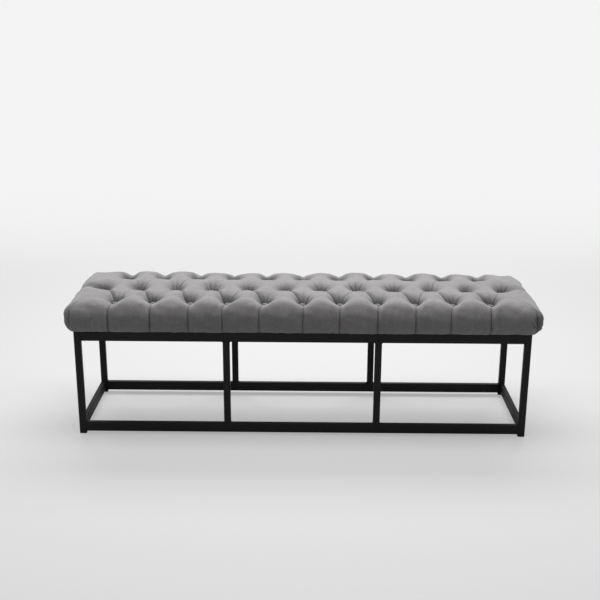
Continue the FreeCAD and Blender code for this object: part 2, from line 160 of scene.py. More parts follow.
# Colours
CLOTH_DARK = (0.128, 0.123, 0.125, 1)
CLOTH_LIGHT = (0.196, 0.190, 0.193, 1)
# Painted shade: the cloth's colour deep in the pits, radial grooves and crisp folds
CLOTH_FOLD_SHADE = (0.012, 0.011, 0.012, 1)
COAT = (0.009, 0.009, 0.0095, 1)
PAPER = (0.48, 0.48, 0.482, 1)
PAPER_NEAR = (0.83, 0.825, 0.827, 1)
PAPER_FAR = (0.90, 0.90, 0.90, 1)
BACKDROP = (0.86, 0.86, 0.86, 1)
AIR_STRENGTH = 0.29

# Backdrop sweep, in metres
SWEEP_FRONT = -6.0
SWEEP_START = 2.2
SWEEP_RADIUS = 1.2
SWEEP_TOP = 6.0
SWEEP_HALF_WIDTH = 8.0
SWEEP_STEPS = 24

# Lamps: name, place, size and power
LAMP_AIM = (0.0, 0.0, 0.4)
LAMPS = [
    ("behind", (0.0, 1.5, 2.35), (3.6, 1.0), 100.0),
    ("overhead", (0.0, -0.1, 2.6), (3.4, 0.9), 62.0),
]

# Camera, fitted to the photo. Angles in radians, focal length in pixels of its width
CAMERA_PLACE = (0.0174, -3.089, 1.368)
CAMERA_YAW = -0.0087
CAMERA_TILT = 0.302
CAMERA_ROLL = 0.0047
SENSOR_WIDTH = 36.0
FOCAL_PIXELS = 973.8
PHOTO_WIDTH = 600.0

rng = np.random.default_rng(7)


# Smooth noise

class Noise:
    """A sum of plane waves with random directions: smooth, seeded, about -1 to 1."""

    def __init__(self, length, waves, seed):
        r = np.random.default_rng(seed)
        direction = r.normal(size=(waves, 3))
        direction /= np.linalg.norm(direction, axis=1)[:, None]
        self.wave = direction * (2 * np.pi / length) * r.uniform(0.6, 1.5, (waves, 1))
        self.phase = r.uniform(0, 2 * np.pi, waves)
        self.scale = math.sqrt(2.0 / waves)

    def at(self, points):
        return np.cos(points @ self.wave.T + self.phase).sum(axis=1) * self.scale


def clustered(count, pull):
    """0 to 1 in count steps, closer together at both ends."""
    t = np.linspace(0, 1, count + 1)
    return t - pull * np.sin(2 * np.pi * t) / (2 * np.pi)


# The smooth form before tufting

def wall_curve(shoulder, hem_inset, bulge_z=BULGE_Z):
    """Points (inset, z, wallness) from the hem up the wall and over the shoulder."""
    down = np.linspace(1, 0, WALL_STEPS)
    inset = hem_inset * down**HEM_CURVE
    z = bulge_z - (bulge_z - HEM_Z) * down
    up = np.linspace(math.radians(90), 0, SHOULDER_STEPS)[1:]
    inset = np.concatenate([inset, shoulder * (1 - np.sin(up))])
    z = np.concatenate([z, bulge_z + (PLATEAU_Z - bulge_z) * np.cos(up)])
    wallness = np.concatenate([np.ones(WALL_STEPS), up / math.radians(90)])
    return inset, z, wallness


def columns(foot, outward, inner, shoulder, hem_inset, steps):
    """Points, push direction and wallness of columns from the hem at foot to inner.
    Arrays are (column, step)."""
    points, push, walls = [], [], []
    for q, n, i, s, h in zip(foot, outward, inner, shoulder, hem_inset):
        closeness = (SHOULDER - s) / (SHOULDER - CORNER_SHOULDER)
        inset, z, wall = wall_curve(s, h, BULGE_Z + (CORNER_BULGE_Z - BULGE_Z) * closeness)
        line = np.stack([q[0] - n[0] * inset, q[1] - n[1] * inset, z], axis=1)
        top = np.linspace(line[-1], [i[0], i[1], PLATEAU_Z], TOP_STEPS)[1:]
        line = np.concatenate([line, top])
        wall = np.concatenate([wall, np.zeros(len(top))])
        length = np.concatenate([[0], np.cumsum(np.linalg.norm(np.diff(line, axis=0), axis=1))])
        want = steps * length[-1]
        p = np.stack([np.interp(want, length, line[:, k]) for k in range(3)], axis=1)
        w = np.interp(want, length, wall)
        angle = w * math.radians(90)
        d = np.stack([n[0] * np.sin(angle), n[1] * np.sin(angle), np.cos(angle)], axis=1)
        points.append(p)
        push.append(d)
        walls.append(w)
    return np.array(points), np.array(push), np.array(walls)


def pleat_line(x, y, outward, hem_inset):
    """The line on the smooth form from the hem up over the edge to the button at (x, y)."""
    if abs(outward[1]) > 0.5:
        foot = (x, outward[1] * HALF_DEPTH)
    else:
        foot = (outward[0] * HALF_LENGTH, y)
    inset, z, _ = wall_curve(SHOULDER, hem_inset)
    line = np.stack([foot[0] - outward[0] * inset, foot[1] - outward[1] * inset, z], axis=1)
    return np.concatenate([line, [[x, y, PLATEAU_Z]]])


def to_line(points, line):
    """Distance from every point to a polyline."""
    a, b = line[:-1], line[1:]
    ab = b - a
    best = np.full(len(points), 9.0)
    for start, step in zip(a, ab):
        t = np.clip(((points - start) @ step) / (step @ step), 0, 1)
        best = np.minimum(best, np.linalg.norm(points - start - t[:, None] * step, axis=1))
    return best


def front_button(i):
    return np.array([i * PITCH, -ROW, PLATEAU_Z])


def middle_button(j):
    """The middle button between outer buttons j and j + 1."""
    return np.array([(j + 0.5) * PITCH, 0.0, PLATEAU_Z])


BUTTONS = [np.array([i * PITCH, s * ROW, PLATEAU_Z]) for s in (-1, 1) for i in range(-5, 6)]
BUTTONS += [middle_button(j) for j in range(-6, 6)]
BUTTONS = np.array(BUTTONS)

WARP_X = Noise(0.11, 10, 1)
WARP_Y = Noise(0.11, 10, 2)
SWELL = Noise(0.16, 10, 3)
RIPPLE = Noise(0.035, 14, 4)
STREAK = Noise(0.022, 14, 5)


class Crease:
    """A pleat line, how strong and crisp it is, and whether it goes over the edge. lip, if
    any, is the start and end of its folded lip, and whether that hangs over the pleat."""

    def __init__(self, line, strength=1.0, crisp=1.0, lip=None, edge=False):
        self.line = np.array(line)
        self.strength = strength
        self.crisp = crisp
        self.lip = lip
        self.edge = edge

    def depth(self, points, wall):
        d = to_line(points, self.line)
        on_wall = np.clip((wall - 0.25) / 0.6, 0, 1)
        top_reach, top_soft = (EDGE_REACH, EDGE_SOFT) if self.edge else (CREASE_REACH, SOFT_CREASE)
        reach = top_reach + (WALL_REACH - top_reach) * on_wall
        soft = top_soft + (WALL_SOFT - top_soft) * on_wall
        sharp = SHARP_CREASE + (WALL_SHARP - SHARP_CREASE) * on_wall
        sharp = sharp * (0.3 + 0.7 * on_wall) if self.edge else sharp
        folded = on_wall if self.edge else min(self.crisp, 1.0)
        if self.lip is not None:
            part = self.near_button(points)
            sharp, folded = sharp * part, folded * part
        fade = 1 - 0.75 * np.clip((0.380 - points[:, 2]) / 0.022, 0, 1)
        near = np.clip(1 - d / reach, 0, 1)
        valley = soft * (folded * near**2 + (1 - folded) * near**2 * (1 + 2 * d / reach))
        return self.strength * fade * (valley + self.crisp * sharp * np.exp(-d / SHARP_WIDTH))

    def near_button(self, points):
        """1 along the first half of a lipped crease, 0 at its far end."""
        start, end = self.lip[:2]
        along = (points - start) @ (end - start) / ((end - start) @ (end - start))
        return np.clip((0.72 - along) / 0.25, 0, 1)

    def fold(self, points):
        """Sideways shift and extra depth of the lip that hangs over this crease."""
        a, b, over = self.lip
        run = b - a
        length = np.linalg.norm(run)
        run = run / length
        side = np.cross([0.0, 0.0, 1.0], run)
        along = (points - a) @ run / length
        q = (points - a) @ side
        window = np.clip((along - 0.05) / 0.15, 0, 1) * np.clip((0.75 - along) / 0.2, 0, 1)
        window *= np.clip(1 - np.abs(points[:, 2] - PLATEAU_Z) / 0.02, 0, 1)
        q = np.abs(q)
        if over:
            bump = q / 0.0035 * np.exp(1 - q / 0.0035)
            move = LIP_UNDER * np.exp(-q / 0.0011) - LIP_OUT * bump
            deep = LIP_DEPTH * np.exp(-q / 0.0013) - 0.0012 * bump
        else:
            move = LIP_UNDER * np.exp(-q / 0.004)
            deep = LIP_DEPTH * np.exp(-q / 0.006)
        return side[None, :] * (move * window)[:, None], deep * window


def lean(points, wall):
    """Sideways shift that sets the foot of each pleat off its button."""
    stands = np.arange(-5, 6) * PITCH
    shift = np.zeros(len(points))
    for side, feet in PLEAT_LEAN.items():
        here = np.interp(points[:, 0], stands, feet)
        end = np.clip((np.abs(points[:, 0]) - 5 * PITCH) / 0.09, 0, 1)
        away = np.clip(side * points[:, 1] / 0.03 - 4.0, 0, 1)
        shift += here * (1 - end) * away * np.clip(wall * 1.4, 0, 1)
    return shift


def tuft(points, push, wall, creases, swell):
    """The tufted place of points of the smooth form between these crease lines, the painted shade
    of the pits and folds on each, and how firmly it is held."""
    valley = sum(c.depth(points, wall) ** CREASE_BLEND for c in creases) ** (1 / CREASE_BLEND)
    gap = np.linalg.norm(points[:, None, :] - BUTTONS[None], axis=2)
    near = gap.argmin(axis=1)
    radius = gap.min(axis=1)
    dip = BUTTON_DIP * np.clip(1 - radius / BUTTON_REACH, 0, 1) ** BUTTON_SLOPE
    dip += PIT_DIP * np.exp(-((radius / PIT_REACH) ** 2))
    offset = points - BUTTONS[near]
    angle = np.arctan2(offset[:, 0], offset[:, 1])
    count = 11 + near % 4
    groove = np.clip(np.cos(angle * count + near * 2.4), 0, 1) ** 3
    groove *= np.clip((0.050 + 0.010 * np.cos(near * 5.0) - radius) / 0.03, 0, 1)
    groove *= np.clip((radius - 0.008) / 0.006, 0, 1)
    groove *= np.clip(1.3 - np.abs(angle), 0.15, 0.6) / 0.6 * (1 - np.clip(wall * 2, 0, 1))
    calm = np.clip(radius / 0.03, 0, 1) * np.clip(1 - wall, 0.25, 1)
    free = np.clip(1 - valley / 0.006, 0, 1)
    depth = valley + dip + GROOVE_DEPTH * groove
    depth -= (SWELL_DEPTH * SWELL.at(points) + SWELL_DEPTH * (swell - 1)) * free
    depth -= RIPPLE_DEPTH * RIPPLE.at(points)
    depth -= STREAK_DEPTH * STREAK.at(points * [1, 0.5, 0.12]) * np.clip(wall * 1.5 - 0.4, 0, 1)
    # Painted shade: darker deep in the pits, along the radial grooves and along the crisp folds,
    # where shade falls
    shade = PIT_SHADE * np.exp(-((radius / PIT_SHADE_REACH) ** 2)) + GROOVE_SHADE * groove
    for crease in creases:
        if crease.edge or crease.lip is not None:
            dark = FOLD_SHADE * np.exp(-to_line(points, crease.line) / FOLD_SHADE_WIDTH)
            if crease.lip is not None:
                dark *= crease.near_button(points)
            shade = np.maximum(shade, dark)
    moved = points.copy()
    for crease in creases:
        if crease.lip is not None:
            shift, deeper = crease.fold(points)
            moved += shift
            depth += deeper
    moved -= push * depth[:, None]
    moved[:, 0] += WARP_REACH * WARP_X.at(points) * calm
    moved[:, 0] += lean(points, wall)
    moved[:, 1] += WARP_REACH * WARP_Y.at(points) * calm * (1 - np.clip(wall * 2, 0, 1))
    return moved, np.clip(shade, 0, 1), holding(points, radius, creases)


def holding(points, radius, creases):
    """How firmly the buttons, the creases and the hem keep each point in place, 0 to 1."""
    held = np.exp(-((radius / HOLD_BUTTON_REACH) ** 4))
    for crease in creases:
        firm = 0.9 if crease.edge or crease.lip is not None else 0.3
        away = to_line(points, crease.line) / HOLD_CREASE_REACH
        held = np.maximum(held, firm * np.exp(-(away**2)))
    return np.maximum(held, np.clip((HEM_Z + 0.012 - points[:, 2]) / 0.008, 0, 1))


class Patchwork:
    """Collects grids of points, and builds them into one mesh."""

    def __init__(self):
        self.points, self.faces, self.uvs, self.shades, self.holds = [], [], [], [], []
        self.count = 0

    def add(self, grid, uv, shade, held, flip=False):
        """grid is (rows, columns, 3). shade is the painted shade of the folds at each point, and
        held how firmly the twine, the pleats and the hem keep it in place."""
        rows, cols = grid.shape[:2]
        index = np.arange(rows * cols).reshape(rows, cols) + self.count
        quads = np.stack([index[:-1, :-1], index[1:, :-1], index[1:, 1:], index[:-1, 1:]], axis=-1)
        quads = quads.reshape(-1, 4)
        if flip:
            quads = quads[:, ::-1]
        self.points.append(grid.reshape(-1, 3))
        self.uvs.append(uv.reshape(-1, 2))
        self.shades.append(np.broadcast_to(shade, rows * cols))
        self.holds.append(np.broadcast_to(held, rows * cols))
        self.faces.append(quads)
        self.count += rows * cols

    def build(self, name):
        points = np.concatenate(self.points)
        uvs = np.concatenate(self.uvs)
        faces = np.concatenate(self.faces)
        mesh = bpy.data.meshes.new(name)
        mesh.from_pydata(points.tolist(), [], faces.tolist())
        layer = mesh.uv_layers.new(name="cloth")
        loop_vertex = np.zeros(len(mesh.loops), np.int32)
        mesh.loops.foreach_get("vertex_index", loop_vertex)
        layer.data.foreach_set("uv", uvs[loop_vertex].ravel())
        # Painted shade of the pits and folds, read by the cloth material
        shade = mesh.attributes.new("fold_shade", "FLOAT", "POINT")
        shade.data.foreach_set("value", np.concatenate(self.shades).astype(np.float32))
        hold = mesh.attributes.new("hold", "FLOAT", "POINT")
        hold.data.foreach_set("value", np.concatenate(self.holds).astype(np.float32))
        mesh.validate()
        obj = bpy.data.objects.new(name, mesh)
        bpy.context.scene.collection.objects.link(obj)
        return obj


# Patches between the pleats

def diamond(work, i):
    """The patch between outer buttons i at the front and back and their middle buttons."""
    u = clustered(DIAGONAL_STEPS, DIAGONAL_PULL)
    left, right = middle_button(i - 1), middle_button(i)
    front, back = front_button(i), front_button(i) * [1, -1, 1]
    grid = left + u[:, None, None] * (front - left) + u[None, :, None] * (back - left)
    flat = grid.reshape(-1, 3)
    push = np.tile([0.0, 0.0, 1.0], (len(flat), 1))
    wall = np.zeros(len(flat))
    creases = [
        Crease((left, front), *DIAGONALS["front_left"], lip=(front, left, True)),
        Crease((front, right), *DIAGONALS["front_right"]),
        Crease((right, back), *DIAGONALS["back_right"]),
        Crease((back, left), *DIAGONALS["back_left"]),
    ]
    swell = 1.0 + rng.normal()
    moved, shade, held = tuft(flat, push, wall, creases, swell)
    work.add(moved.reshape(grid.shape), flat[:, :2], shade, held)


def side_panel(work, i, side):
    """The panel between outer buttons i and i + 1, from their middle button to the hem."""
    half = clustered(DIAGONAL_STEPS, DIAGONAL_PULL) / 2
    a = np.concatenate([half, 1 - half[-2::-1]])
    x = (i + a) * PITCH
    inner_y = side * ROW * np.abs(1 - 2 * a)
    n = len(a)
    foot = np.stack([x, np.full(n, side * HALF_DEPTH)], axis=1)
    outward = np.tile([0.0, float(side)], (n, 1))
    inner = np.stack([x, inner_y], axis=1)
    steps = clustered(COLUMN_STEPS, COLUMN_PULL)
    points, push, wall = columns(
        foot, outward, inner, np.full(n, SHOULDER), np.full(n, HEM_INSET), steps
    )
    creases = []
    middle = middle_button(i)
    for k in (i, i + 1):
        line = pleat_line(k * PITCH, side * ROW, (0.0, float(side)), HEM_INSET)
        creases.append(Crease(line, edge=True))
        kind = ("front" if side < 0 else "back") + ("_left" if k == i + 1 else "_right")
        lip = (line[-1], middle, False) if kind == "front_left" else None
        creases.append(Crease((line[-1], middle), *DIAGONALS[kind], lip=lip))
    swell = 1.0 + rng.normal()
    flat = points.reshape(-1, 3)
    moved, shade, held = tuft(flat, push.reshape(-1, 3), wall.ravel(), creases, swell)
    drop = np.linalg.norm(np.diff(points, axis=1), axis=2).cumsum(axis=1)
    drop = np.concatenate([np.zeros((n, 1)), drop], axis=1)
    v = side * (drop[:, -1:] - drop + np.abs(inner_y)[:, None])
    uv = np.stack([points[:, :, 0], v], axis=-1)
    work.add(moved.reshape(points.shape), uv, shade, held, flip=side < 0)


def corner_runs():
    """Lengths from the side pleat to the corner, round it, and on to the end pleat."""
    r = CORNER_RADIUS
    return [HALF_LENGTH - r - 5 * PITCH, r * math.pi / 2, HALF_DEPTH - r]


def perimeter(t):
    """Foot point and outward normal at share t of the way round a corner, as if the corner
    was at (+, +): from the side pleat at t 0 to the end pleat at t 1."""
    start_x = 5 * PITCH
    r = CORNER_RADIUS
    runs = corner_runs()
    s = t * sum(runs)
    if s <= runs[0]:
        return (start_x + s, HALF_DEPTH), (0.0, 1.0)
    s -= runs[0]
    if s <= runs[1]:
        angle = s / r
        n = (math.sin(angle), math.cos(angle))
        return (HALF_LENGTH - r + r * n[0], HALF_DEPTH - r + r * n[1]), n
    s -= runs[1]
    return (HALF_LENGTH, HALF_DEPTH - r - s), (1.0, 0.0)


def corner_distance(t):
    """Length along the perimeter from the middle of the corner, negative on the long side."""
    runs = corner_runs()
    return t * sum(runs) - runs[0] - runs[1] / 2


def corner_gathers(points, push, wall, cornered, side, seed):
    """The small folds that take in the spare cloth at a corner, and its bulge: how far they move
    each point, and the painted shade along the deepest one."""
    away = np.array(cornered)[:, None] + 0.004 * np.sin(points[:, :, 2] * 60 + seed)
    slant = away + GATHER_SLANT[side] * (points[:, :, 2] - BULGE_Z)
    height = np.clip((points[:, :, 2] - 0.356) / 0.02, 0, 1) * np.clip((wall - 0.4) / 0.5, 0, 1)
    close = np.exp(-((away / np.where(away < 0, GATHER_REACH_SIDE, GATHER_REACH_END)) ** 2))
    wave = np.cos(2 * np.pi * slant / GATHER_PITCH + seed)
    wave += 0.5 * np.cos(2 * np.pi * slant / FINE_GATHER_PITCH + 2 * seed)
    fold = height * np.exp(-np.abs(away - CORNER_FOLD_PLACE) / CORNER_FOLD_WIDTH)
    out = close * height * (CORNER_BULGE + GATHER_DEPTH[side] * wave) - CORNER_FOLD_DEPTH * fold
    # Painted shade along the deepest corner fold
    return push * out[:, :, None], FOLD_SHADE * fold


def corner_panel(work, side_x, side_y):
    """The cloth round one corner, from the last side pleat to the end pleat."""
    count = DIAGONAL_STEPS * CORNER_FACTOR
    u = clustered(DIAGONAL_STEPS, DIAGONAL_PULL)
    a = np.interp(np.arange(count + 1) / CORNER_FACTOR, np.arange(DIAGONAL_STEPS + 1), u)
    mirror = np.array([side_x, side_y])
    first = np.array([5 * PITCH, ROW])
    last = np.array([5.5 * PITCH, 0.0])
    foot, outward, shoulder, inset, cornered = [], [], [], [], []
    spread = a + 0.10 * np.sin(2 * np.pi * a) / (2 * np.pi)
    for t in spread:
        q, n = perimeter(float(t))
        foot.append(q)
        outward.append(n)
        away = corner_distance(float(t))
        cornered.append(away)
        near = min(1.0, abs(away) / 0.09)
        near = near * near * (3 - 2 * near)
        shoulder.append(CORNER_SHOULDER + (SHOULDER - CORNER_SHOULDER) * near)
        inset.append(HEM_INSET + (HEM_END_INSET - HEM_INSET) * t)
    foot, outward = np.array(foot) * mirror, np.array(outward) * mirror
    inner = (first + a[:, None] * (last - first)) * mirror
    steps = clustered(COLUMN_STEPS, COLUMN_PULL)
    points, push, wall = columns(foot, outward, inner, shoulder, inset, steps)
    button = np.array([first[0] * side_x, first[1] * side_y, PLATEAU_Z])
    end = np.array([last[0] * side_x, 0.0, PLATEAU_Z])
    kind = ("front" if side_y < 0 else "back") + ("_left" if side_x < 0 else "_right")
    lip = (button, end, False) if kind == "front_left" else None
    creases = [
        Crease(pleat_line(button[0], button[1], (0.0, float(side_y)), HEM_INSET), edge=True),
        Crease((button, end), *DIAGONALS[kind], lip=lip),
        Crease(pleat_line(end[0], 0.0, (float(side_x), 0.0), HEM_END_INSET), 1.1, edge=True),
    ]
    flat = points.reshape(-1, 3)
    moved, shade, held = tuft(flat, push.reshape(-1, 3), wall.ravel(), creases, 1.0)
    moved = moved.reshape(points.shape)
    gathers, dark = corner_gathers(points, push, wall, cornered, side_x, side_x * 3 + side_y)
    moved += gathers
    shade = np.maximum(shade, dark.ravel())
    upright = np.sin(np.clip((points[:, :, 2] - HEM_Z) / (PLATEAU_Z - HEM_Z), 0, 1) * math.pi)
    moved[:, :, 0] += END_SWELL[side_x] * side_x * upright * np.abs(push[:, :, 0])
    tip = np.array([side_x * HALF_LENGTH, side_y * HALF_DEPTH])
    away = np.linalg.norm(points[:, :, :2] - tip, axis=2)
    low = np.clip((points[:, :, 2] - HEM_Z) / (PLATEAU_Z - HEM_Z), 0, 1)
    moved[:, :, 2] -= CORNER_DROOP * np.clip(1 - away / CORNER_REACH, 0, 1) ** 1.5 * low
    uv = points[:, :, :2] + outward[:, None, :] * (PLATEAU_Z - points[:, :, 2:3])
    work.add(moved, uv, shade, held, flip=side_x * side_y < 0)


def round_ring(half_x, half_y, radius):
    """A closed rounded rectangle of points."""
    points = []
    for turn, (sx, sy) in enumerate([(1, 1), (-1, 1), (-1, -1), (1, -1)]):
        for angle in np.linspace(turn, turn + 1, 9) * math.pi / 2:
            x = sx * (half_x - radius) + radius * math.cos(angle)
            y = sy * (half_y - radius) + radius * math.sin(angle)
            points.append((x, y))
    return np.array(points + points[:1])


def hem_strip(work):
    """The flat turn-under of the cover, between the seat board and the rails."""
    rings = [
        round_ring(HALF_LENGTH - HEM_END_INSET, HALF_DEPTH - HEM_INSET, CORNER_RADIUS - HEM_INSET),
        round_ring(HEM_EDGE_X, HEM_EDGE_Y, HEM_EDGE_CORNER),
    ]
    grid = np.stack([np.column_stack([r, np.full(len(r), HEM_Z + HEM_LIFT)]) for r in rings])
    work.add(grid, grid[:, :, :2], 0.0, 1.0)


def seat_cover():
    """The whole cover as one mesh."""
    work = Patchwork()
    for i in range(-5, 6):
        diamond(work, i)
    for i in range(-5, 5):
        for side in (-1, 1):
            side_panel(work, i, side)
    for side_x in (-1, 1):
        for side_y in (-1, 1):
            corner_panel(work, side_x, side_y)
    hem_strip(work)
    obj = work.build("seat_cover_cloth")
    weld = obj.modifiers.new("weld", "WELD")
    weld.merge_threshold = WELD_DISTANCE
    bpy.context.view_layer.objects.active = obj
    obj.select_set(True)
    bpy.ops.object.modifier_apply(modifier="weld")
    obj.data.polygons.foreach_set("use_smooth", [True] * len(obj.data.polygons))
    relax(obj)
    return obj


def held_group(obj):
    """A vertex group from the hold attribute, in even levels."""
    hold = np.zeros(len(obj.data.vertices))
    obj.data.attributes["hold"].data.foreach_get("value", hold)
    group = obj.vertex_groups.new(name="held")
    for level in range(1, HOLD_LEVELS + 1):
        share = level / HOLD_LEVELS
        chosen = np.nonzero((hold > share - 1 / HOLD_LEVELS) & (hold <= share))[0]
        group.add(chosen.tolist(), share, "REPLACE")
    return group


def places(mesh):
    flat = np.zeros(len(mesh.vertices) * 3)
    mesh.vertices.foreach_get("co", flat)
    return flat.reshape(-1, 3)


def smoothed(mesh, move):
    """The moves, each evened out with those of the points next to it."""
    edges = np.zeros(len(mesh.edges) * 2, dtype=np.int32)
    mesh.edges.foreach_get("vertices", edges)
    ends = edges.reshape(-1, 2)
    neighbours = np.maximum(np.bincount(edges, minlength=len(move)), 1)[:, None]
    for _ in range(SMOOTH_PASSES):
        total = np.zeros_like(move)
        np.add.at(total, ends[:, 0], move[ends[:, 1]])
        np.add.at(total, ends[:, 1], move[ends[:, 0]])
        move = 0.5 * move + 0.5 * total / neighbours
    return move


def relax(obj):
    """Cloth under pressure between the buttons, pleats and hem, each point kept near its place."""
    group = held_group(obj)
    cloth = obj.modifiers.new("cloth", "CLOTH")
    for name, value in CLOTH_SETTINGS.items():
        setattr(cloth.settings, name, value)
    cloth.settings.effector_weights.gravity = 0.0
    cloth.collision_settings.use_self_collision = False
    cloth.collision_settings.use_collision = False
    scene = bpy.context.scene
    before = places(obj.data)
    for number in range(1, CLOTH_FRAMES + 1):
        scene.frame_set(number)
    graph = bpy.context.evaluated_depsgraph_get()
    after = places(obj.evaluated_get(graph).data)
    obj.modifiers.remove(cloth)
    obj.vertex_groups.remove(group)
    scene.frame_set(1)
    move = smoothed(obj.data, after - before)
    length = np.linalg.norm(move, axis=1)
    move *= (CLOTH_CAP * np.tanh(length / CLOTH_CAP) / np.maximum(length, 1e-9))[:, None]
    obj.data.vertices.foreach_set("co", (before + move).ravel())
    obj.data.update()


# Materials

def material(name):
    """A new material, its nodes, and its shader."""
    mat = bpy.data.materials.new(name)
    mat.use_nodes = True
    tree = mat.node_tree
    return mat, tree, tree.nodes["Principled BSDF"]


def node(tree, kind, **values):
    """A new node, with values for its inputs or its own settings."""
    made = tree.nodes.new(kind)
    for key, value in values.items():
        if key in made.inputs:
            made.inputs[key].default_value = value
        else:
            setattr(made, key, value)
    return made


def upholstery_cloth(name, painted_shade):
    """Woven cloth, with painted shade in its folds and pits. The last argument adds painted shade
    all over, for cloth that sits in shade.
    """
    mat, tree, shader = material(name)
    link = tree.links.new
    shader.inputs["Roughness"].default_value = 0.92
    shader.inputs["Specular IOR Level"].default_value = 0.15
    shader.inputs["Sheen Weight"].default_value = 0.25
    shader.inputs["Sheen Roughness"].default_value = 0.6
    place = node(tree, "ShaderNodeTexCoord")
    mottle = node(tree, "ShaderNodeTexNoise", Scale=260.0, Detail=4.0, Roughness=0.7)
    link(place.outputs["Object"], mottle.inputs["Vector"])
    ramp = node(tree, "ShaderNodeValToRGB")
    ramp.color_ramp.elements[0].position = 0.32
    ramp.color_ramp.elements[0].color = CLOTH_DARK
    ramp.color_ramp.elements[1].position = 0.70
    ramp.color_ramp.elements[1].color = CLOTH_LIGHT
    link(mottle.outputs["Fac"], ramp.inputs["Fac"])
    # Painted shade: the cloth goes toward its fold-shade colour where fold_shade is high, and
    # further by the last argument
    fold = node(tree, "ShaderNodeAttribute", attribute_name="fold_shade")
    dark = node(tree, "ShaderNodeMix", data_type="RGBA")
    dark.inputs["B"].default_value = CLOTH_FOLD_SHADE
    deep = node(tree, "ShaderNodeMath", operation="ADD")
    deep.inputs[1].default_value = painted_shade
    link(fold.outputs["Fac"], deep.inputs[0])
    link(deep.outputs["Value"], dark.inputs["Factor"])
    nap = node(tree, "ShaderNodeTexNoise", Scale=11.0, Detail=3.0)
    link(place.outputs["Object"], nap.inputs["Vector"])
    worn = node(tree, "ShaderNodeMapRange")
    worn.inputs["To Min"].default_value = 0.86
    worn.inputs["To Max"].default_value = 1.14
    link(nap.outputs["Fac"], worn.inputs["Value"])
    toned = node(tree, "ShaderNodeVectorMath", operation="SCALE")
    link(ramp.outputs["Color"], toned.inputs[0])
    link(worn.outputs["Result"], toned.inputs["Scale"])
    link(toned.outputs["Vector"], dark.inputs["A"])
    link(dark.outputs["Result"], shader.inputs["Base Color"])
    weave = weave_height(tree)
    threads = node(tree, "ShaderNodeBump", Strength=0.5, Distance=0.00015)
    link(weave, threads.inputs["Height"])
    bump = node(tree, "ShaderNodeBump", Strength=0.35, Distance=0.0006)
    link(mottle.outputs["Fac"], bump.inputs["Height"])
    link(threads.outputs["Normal"], bump.inputs["Normal"])
    upright = node(tree, "ShaderNodeMapping")
    upright.inputs["Scale"].default_value = (1.0, 1.0, 0.22)
    link(place.outputs["Object"], upright.inputs["Vector"])
    pucker = node(tree, "ShaderNodeTexNoise", Scale=34.0, Detail=2.0, Roughness=0.45)
    link(upright.outputs["Vector"], pucker.inputs["Vector"])
    creased = node(tree, "ShaderNodeBump", Strength=0.30, Distance=0.006)
    link(pucker.outputs["Fac"], creased.inputs["Height"])
    link(bump.outputs["Normal"], creased.inputs["Normal"])
    link(creased.outputs["Normal"], shader.inputs["Normal"])
    return mat


def weave_height(tree):
    """Over and under of the threads along both directions of the cloth."""
    link = tree.links.new
    place = node(tree, "ShaderNodeUVMap", uv_map="cloth")
    split = node(tree, "ShaderNodeSeparateXYZ")
    link(place.outputs["UV"], split.inputs["Vector"])
    waves = []
    for axis in ("X", "Y"):
        turn = node(tree, "ShaderNodeMath", operation="MULTIPLY")
        turn.inputs[1].default_value = 2 * math.pi / THREAD_PITCH
        link(split.outputs[axis], turn.inputs[0])
        wave = node(tree, "ShaderNodeMath", operation="SINE")
        link(turn.outputs["Value"], wave.inputs[0])
        waves.append(wave)
    product = node(tree, "ShaderNodeMath", operation="MULTIPLY")
    link(waves[0].outputs["Value"], product.inputs[0])
    link(waves[1].outputs["Value"], product.inputs[1])
    return product.outputs["Value"]


def powder_coat():
    """Black paint with a fine grain."""
    mat, tree, shader = material("black_powder_coat")
    link = tree.links.new
    shader.inputs["Base Color"].default_value = COAT
    shader.inputs["Roughness"].default_value = 0.5
    shader.inputs["Specular IOR Level"].default_value = 0.22
    place = node(tree, "ShaderNodeTexCoord")
    grain = node(tree, "ShaderNodeTexNoise", Scale=1400.0, Detail=2.0)
    link(place.outputs["Object"], grain.inputs["Vector"])
    bump = node(tree, "ShaderNodeBump", Strength=0.25, Distance=0.0002)
    link(grain.outputs["Fac"], bump.inputs["Height"])
    link(bump.outputs["Normal"], shader.inputs["Normal"])
    return mat


def plain(name, colour, roughness, metallic=0.0, grain=900.0, spread=0.15):
    """A slightly mottled solid colour."""
    mat, tree, shader = material(name)
    link = tree.links.new
    shader.inputs["Roughness"].default_value = roughness
    shader.inputs["Metallic"].default_value = metallic
    place = node(tree, "ShaderNodeTexCoord")
    noise = node(tree, "ShaderNodeTexNoise", Scale=grain, Detail=3.0)
    link(place.outputs["Object"], noise.inputs["Vector"])
    ramp = node(tree, "ShaderNodeValToRGB")
    ramp.color_ramp.elements[0].color = tuple(c * (1 - spread) for c in colour) + (1,)
    ramp.color_ramp.elements[1].color = tuple(min(1, c * (1 + spread)) for c in colour) + (1,)
    link(noise.outputs["Fac"], ramp.inputs["Fac"])
    link(ramp.outputs["Color"], shader.inputs["Base Color"])
    return mat


def set_material(obj, mat):
    obj.data.materials.clear()
    obj.data.materials.append(mat)


# Stage, light and camera

